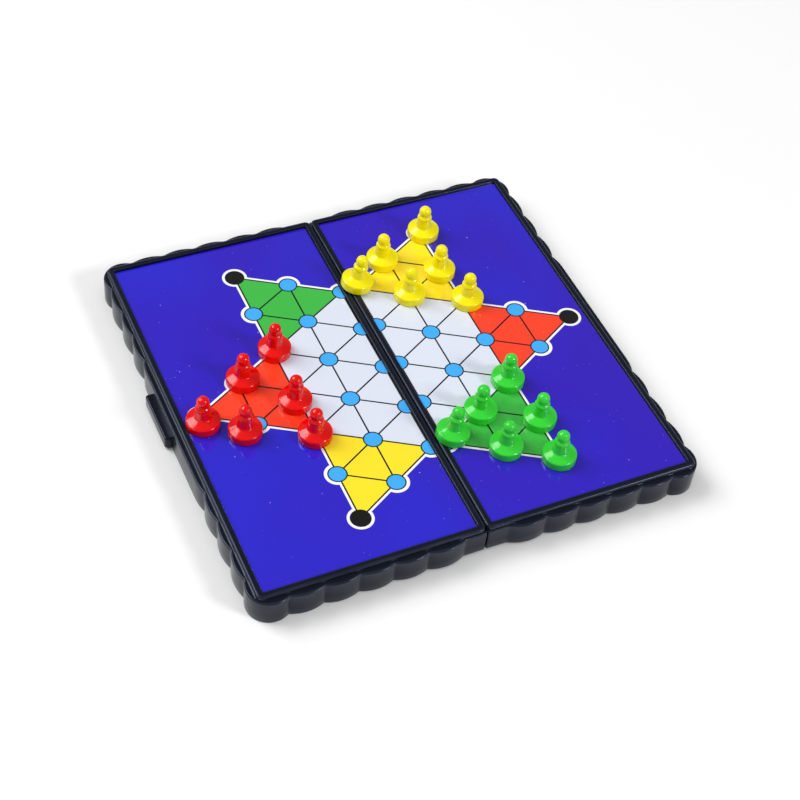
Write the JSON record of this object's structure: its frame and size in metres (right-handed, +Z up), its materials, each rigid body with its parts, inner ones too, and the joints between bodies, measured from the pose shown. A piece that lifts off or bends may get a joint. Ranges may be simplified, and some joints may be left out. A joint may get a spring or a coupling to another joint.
{
  "type": "chinese checkers board",
  "caption": "Folding pocket board game: two scalloped trays hinged along the seam, a printed six-pointed star across both, and small magnetic pawns.",
  "frame": {"origin": "bottom centre of the whole open set, on the surface it rests on", "axes": "+X across the seam to the right half, +Y along the seam to the back, +Z up from the table through the playing face"},
  "size_m": [0.129, 0.1254, 0.0193],
  "materials": {
    "tray_plastic": "satin moulded polystyrene, dark navy black",
    "printed_sheet": "printed, laminated, glossy",
    "sheet_steel": "tin plate",
    "hinge_wire": "drawn steel wire",
    "red_plastic": "glossy moulded polystyrene",
    "yellow_plastic": "glossy moulded polystyrene",
    "green_plastic": "glossy moulded polystyrene",
    "magnet": "sintered ferrite, matt"
  },
  "bodies": {
    "left_half": {"left_tray": "tray_plastic", "left_steel_sheet": "sheet_steel", "left_printed_sheet": "printed_sheet", "front_hinge_pin": "hinge_wire", "back_hinge_pin": "hinge_wire"},
    "right_half": {"right_tray": "tray_plastic", "right_steel_sheet": "sheet_steel", "right_printed_sheet": "printed_sheet"},
    "red_piece_1": {"red_pawn_1": "red_plastic", "red_magnet_1": "magnet"},
    "red_piece_2": {"red_pawn_2": "red_plastic", "red_magnet_2": "magnet"},
    "red_piece_3": {"red_pawn_3": "red_plastic", "red_magnet_3": "magnet"},
    "red_piece_4": {"red_pawn_4": "red_plastic", "red_magnet_4": "magnet"},
    "red_piece_5": {"red_pawn_5": "red_plastic", "red_magnet_5": "magnet"},
    "red_piece_6": {"red_pawn_6": "red_plastic", "red_magnet_6": "magnet"},
    "yellow_piece_1": {"yellow_pawn_1": "yellow_plastic", "yellow_magnet_1": "magnet"},
    "yellow_piece_2": {"yellow_pawn_2": "yellow_plastic", "yellow_magnet_2": "magnet"},
    "yellow_piece_3": {"yellow_pawn_3": "yellow_plastic", "yellow_magnet_3": "magnet"},
    "yellow_piece_4": {"yellow_pawn_4": "yellow_plastic", "yellow_magnet_4": "magnet"},
    "yellow_piece_5": {"yellow_pawn_5": "yellow_plastic", "yellow_magnet_5": "magnet"},
    "yellow_piece_6": {"yellow_pawn_6": "yellow_plastic", "yellow_magnet_6": "magnet"},
    "green_piece_1": {"green_pawn_1": "green_plastic", "green_magnet_1": "magnet"},
    "green_piece_2": {"green_pawn_2": "green_plastic", "green_magnet_2": "magnet"},
    "green_piece_3": {"green_pawn_3": "green_plastic", "green_magnet_3": "magnet"},
    "green_piece_4": {"green_pawn_4": "green_plastic", "green_magnet_4": "magnet"},
    "green_piece_5": {"green_pawn_5": "green_plastic", "green_magnet_5": "magnet"},
    "green_piece_6": {"green_pawn_6": "green_plastic", "green_magnet_6": "magnet"}
  },
  "joints": [
    {"name": "fold", "type": "hinge", "parent": "left_half", "child": "right_half", "pos_m": [0.00095, 0, 0.0009], "axis": [0, 1, 0], "range_deg": [0, 178]},
    {"name": "red_lift_1", "type": "slide", "parent": "left_half", "child": "red_piece_1", "axis": [0, 0, 1], "range_m": [0, 0.015]},
    {"name": "red_lift_2", "type": "slide", "parent": "left_half", "child": "red_piece_2", "axis": [0, 0, 1], "range_m": [0, 0.015]},
    {"name": "red_lift_3", "type": "slide", "parent": "left_half", "child": "red_piece_3", "axis": [0, 0, 1], "range_m": [0, 0.015]},
    {"name": "red_lift_4", "type": "slide", "parent": "left_half", "child": "red_piece_4", "axis": [0, 0, 1], "range_m": [0, 0.015]},
    {"name": "red_lift_5", "type": "slide", "parent": "left_half", "child": "red_piece_5", "axis": [0, 0, 1], "range_m": [0, 0.015]},
    {"name": "red_lift_6", "type": "slide", "parent": "left_half", "child": "red_piece_6", "axis": [0, 0, 1], "range_m": [0, 0.015]},
    {"name": "yellow_lift_1", "type": "slide", "parent": "right_half", "child": "yellow_piece_1", "axis": [0, 0, 1], "range_m": [0, 0.015]},
    {"name": "yellow_lift_2", "type": "slide", "parent": "right_half", "child": "yellow_piece_2", "axis": [0, 0, 1], "range_m": [0, 0.015]},
    {"name": "yellow_lift_3", "type": "slide", "parent": "right_half", "child": "yellow_piece_3", "axis": [0, 0, 1], "range_m": [0, 0.015]},
    {"name": "yellow_lift_4", "type": "slide", "parent": "right_half", "child": "yellow_piece_4", "axis": [0, 0, 1], "range_m": [0, 0.015]},
    {"name": "yellow_lift_5", "type": "slide", "parent": "right_half", "child": "yellow_piece_5", "axis": [0, 0, 1], "range_m": [0, 0.015]},
    {"name": "yellow_lift_6", "type": "slide", "parent": "right_half", "child": "yellow_piece_6", "axis": [0, 0, 1], "range_m": [0, 0.015]},
    {"name": "green_lift_1", "type": "slide", "parent": "right_half", "child": "green_piece_1", "axis": [0, 0, 1], "range_m": [0, 0.015]},
    {"name": "green_lift_2", "type": "slide", "parent": "right_half", "child": "green_piece_2", "axis": [0, 0, 1], "range_m": [0, 0.015]},
    {"name": "green_lift_3", "type": "slide", "parent": "right_half", "child": "green_piece_3", "axis": [0, 0, 1], "range_m": [0, 0.015]},
    {"name": "green_lift_4", "type": "slide", "parent": "right_half", "child": "green_piece_4", "axis": [0, 0, 1], "range_m": [0, 0.015]},
    {"name": "green_lift_5", "type": "slide", "parent": "right_half", "child": "green_piece_5", "axis": [0, 0, 1], "range_m": [0, 0.015]},
    {"name": "green_lift_6", "type": "slide", "parent": "right_half", "child": "green_piece_6", "axis": [0, 0, 1], "range_m": [0, 0.015]}
  ]
}
